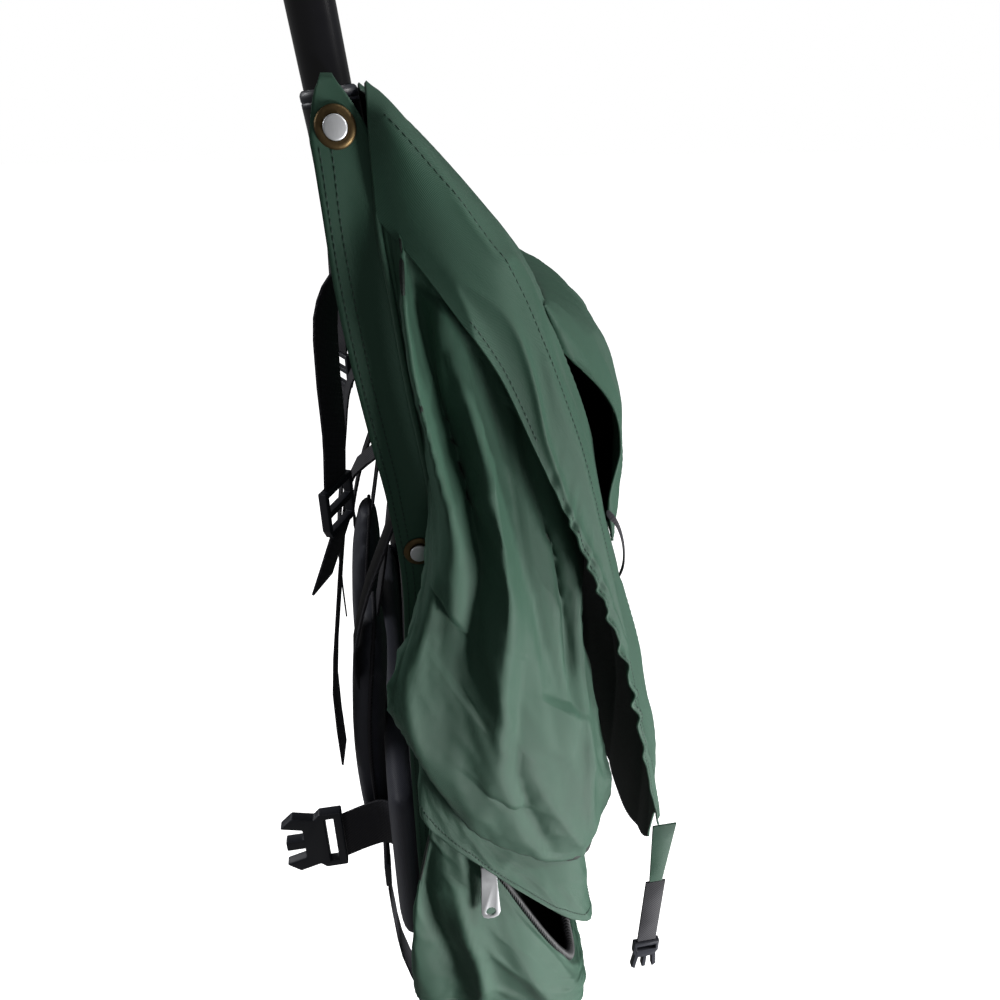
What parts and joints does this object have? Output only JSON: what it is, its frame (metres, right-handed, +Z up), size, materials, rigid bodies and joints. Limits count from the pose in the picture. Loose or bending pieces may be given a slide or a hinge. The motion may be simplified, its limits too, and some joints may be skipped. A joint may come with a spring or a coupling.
{
  "type": "external frame backpack",
  "caption": "Backpack on a black tubular external frame with extension bar, hollow upper and lower bags, lid with map pocket, padded shoulder straps and hip belt.",
  "frame": {"origin": "underside of the extension's top bar, in its middle, where the pack hangs", "axes": "+Z up along the hang, -Y towards the bag's front, +Y towards the wearer, +X to the wearer's right"},
  "size_m": [0.4266, 0.3136, 0.895],
  "materials": {
    "black_tube": "gloss black enamel",
    "black_plastic": "satin moulded plastic",
    "green_cloth": "coated pack cloth",
    "black_webbing": "woven webbing",
    "navy_padding": "padded pack cloth",
    "aged_brass": "tarnished",
    "steel": "satin"
  },
  "bodies": {
    "root": {"rail_left": "black_tube", "rail_right": "black_tube", "extension_bar": "black_tube", "cross_bar_top": "black_tube", "cross_bar_shoulder": "black_tube", "cross_bar_waist": "black_tube", "cross_bar_low": "black_tube", "rail_collar_left": "black_plastic", "rail_collar_right": "black_plastic", "pin_upper_left": "steel", "pin_upper_right": "steel", "pin_lower_left": "steel", "pin_lower_right": "steel", "grommet_upper_left": "aged_brass", "grommet_upper_right": "aged_brass", "grommet_lower_left": "aged_brass", "grommet_lower_right": "aged_brass", "flange_left": "green_cloth", "flange_right": "green_cloth", "bag_upper": "green_cloth", "bag_lower": "green_cloth", "storm_flap": "green_cloth", "zip_coil": "black_plastic", "zip_tape": "black_webbing", "zip_pull_left": "steel", "zip_pull_right": "steel", "lid_loop": "black_webbing", "lid": "green_cloth", "lid_pocket": "green_cloth", "lid_tongue_left": "green_cloth", "lid_tongue_right": "green_cloth", "lid_strap_left": "black_webbing", "lid_strap_right": "black_webbing", "lid_buckle_left": "black_plastic", "lid_buckle_right": "black_plastic", "lifter_strap_left": "black_webbing", "lifter_strap_right": "black_webbing", "lifter_tail_left": "black_webbing", "lifter_tail_right": "black_webbing", "free_tail_left": "black_webbing", "free_tail_right": "black_webbing", "pad_top_strap_left": "black_webbing", "pad_top_strap_right": "black_webbing", "pad_tail_left": "black_webbing", "pad_tail_right": "black_webbing", "pad_sheath_left": "black_webbing", "pad_sheath_right": "black_webbing", "lower_strap_left": "black_webbing", "lower_strap_right": "black_webbing", "lifter_lock_left": "black_plastic", "lifter_lock_right": "black_plastic", "pad_lock_left": "black_plastic", "pad_lock_right": "black_plastic", "shoulder_pad_left": "navy_padding", "shoulder_pad_right": "navy_padding", "lumbar_band": "navy_padding", "hip_webbing_left": "black_webbing", "hip_webbing_right": "black_webbing", "hip_buckle_left": "black_plastic", "hip_buckle_right": "black_plastic"}
  },
  "joints": []
}
